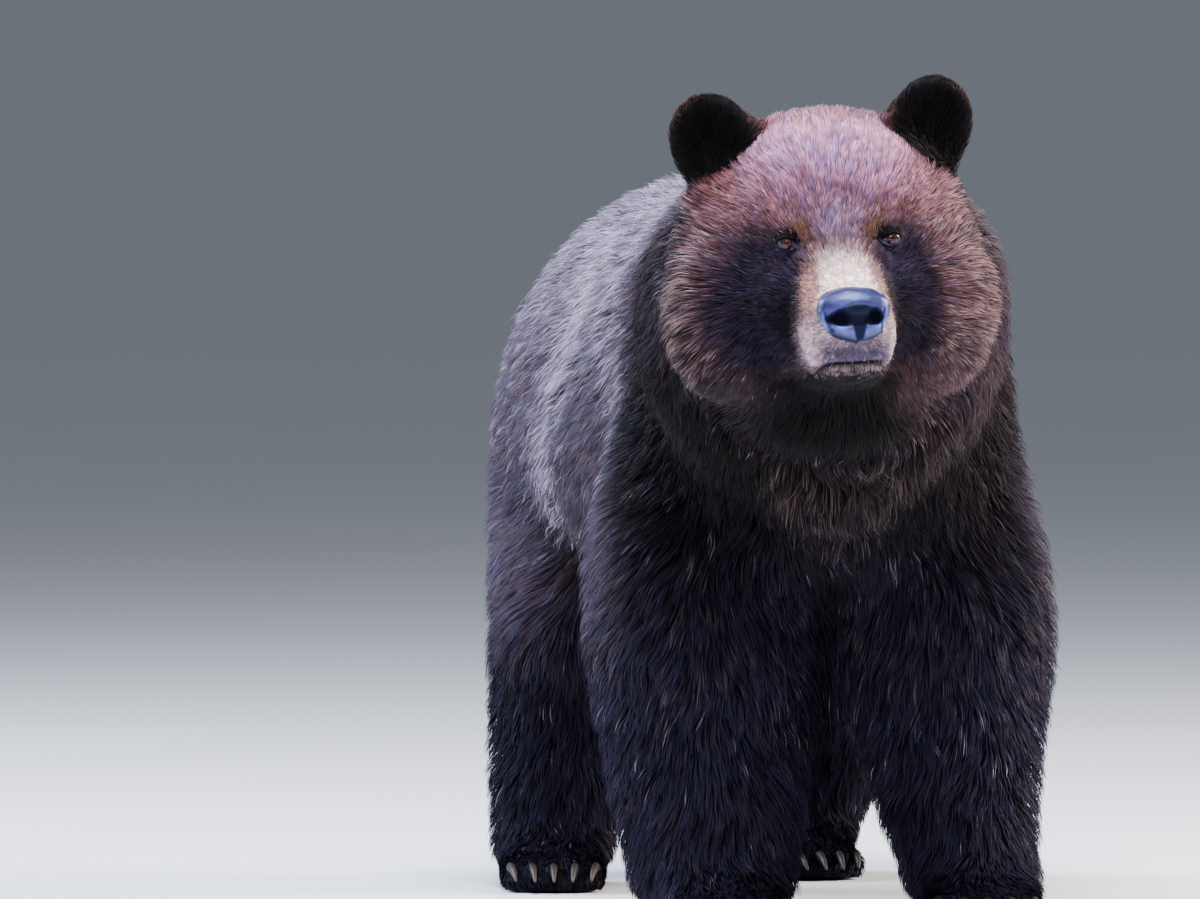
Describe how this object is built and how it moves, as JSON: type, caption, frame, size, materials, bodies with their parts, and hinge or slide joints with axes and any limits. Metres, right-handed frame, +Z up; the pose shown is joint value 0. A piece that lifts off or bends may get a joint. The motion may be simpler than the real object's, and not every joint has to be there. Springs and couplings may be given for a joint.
{
  "type": "standing bear model",
  "caption": "Life-size grizzly bear standing on all four feet, with a thick brown coat, shoulder hump, round dark ears and long claws.",
  "frame": {"origin": "On the floor, under the middle of the box round the whole bear.", "axes": "+Z up. The bear faces -Y and its left side is towards +X."},
  "size_m": [0.6284, 1.7418, 1.013],
  "materials": {
    "fur_dark": "thick, very dark brown fur",
    "fur_brown": "thick brown fur with pale tips",
    "fur_ear": "short, nearly black fur",
    "nose": "moist, finely pebbled skin",
    "eye": "wet, reddish brown",
    "claw": "horn, dark at the root"
  },
  "bodies": {
    "root": {"trunk": "fur_dark", "neck": "fur_brown", "head": "fur_brown", "lower_jaw": "fur_brown", "nose": "nose", "ear_left": "fur_ear", "ear_right": "fur_ear", "eye_left": "eye", "eye_right": "eye", "tail": "fur_dark", "upper_foreleg_left": "fur_dark", "forearm_left": "fur_dark", "thigh_left": "fur_dark", "shank_left": "fur_dark", "forepaw_left": "fur_dark", "hindpaw_left": "fur_dark", "foreclaw_left_1": "claw", "foreclaw_left_2": "claw", "foreclaw_left_3": "claw", "foreclaw_left_4": "claw", "foreclaw_left_5": "claw", "hindclaw_left_1": "claw", "hindclaw_left_2": "claw", "hindclaw_left_3": "claw", "hindclaw_left_4": "claw", "hindclaw_left_5": "claw", "upper_foreleg_right": "fur_dark", "forearm_right": "fur_dark", "thigh_right": "fur_dark", "shank_right": "fur_dark", "forepaw_right": "fur_dark", "hindpaw_right": "fur_dark", "foreclaw_right_1": "claw", "foreclaw_right_2": "claw", "foreclaw_right_3": "claw", "foreclaw_right_4": "claw", "foreclaw_right_5": "claw", "hindclaw_right_1": "claw", "hindclaw_right_2": "claw", "hindclaw_right_3": "claw", "hindclaw_right_4": "claw", "hindclaw_right_5": "claw"}
  },
  "joints": []
}
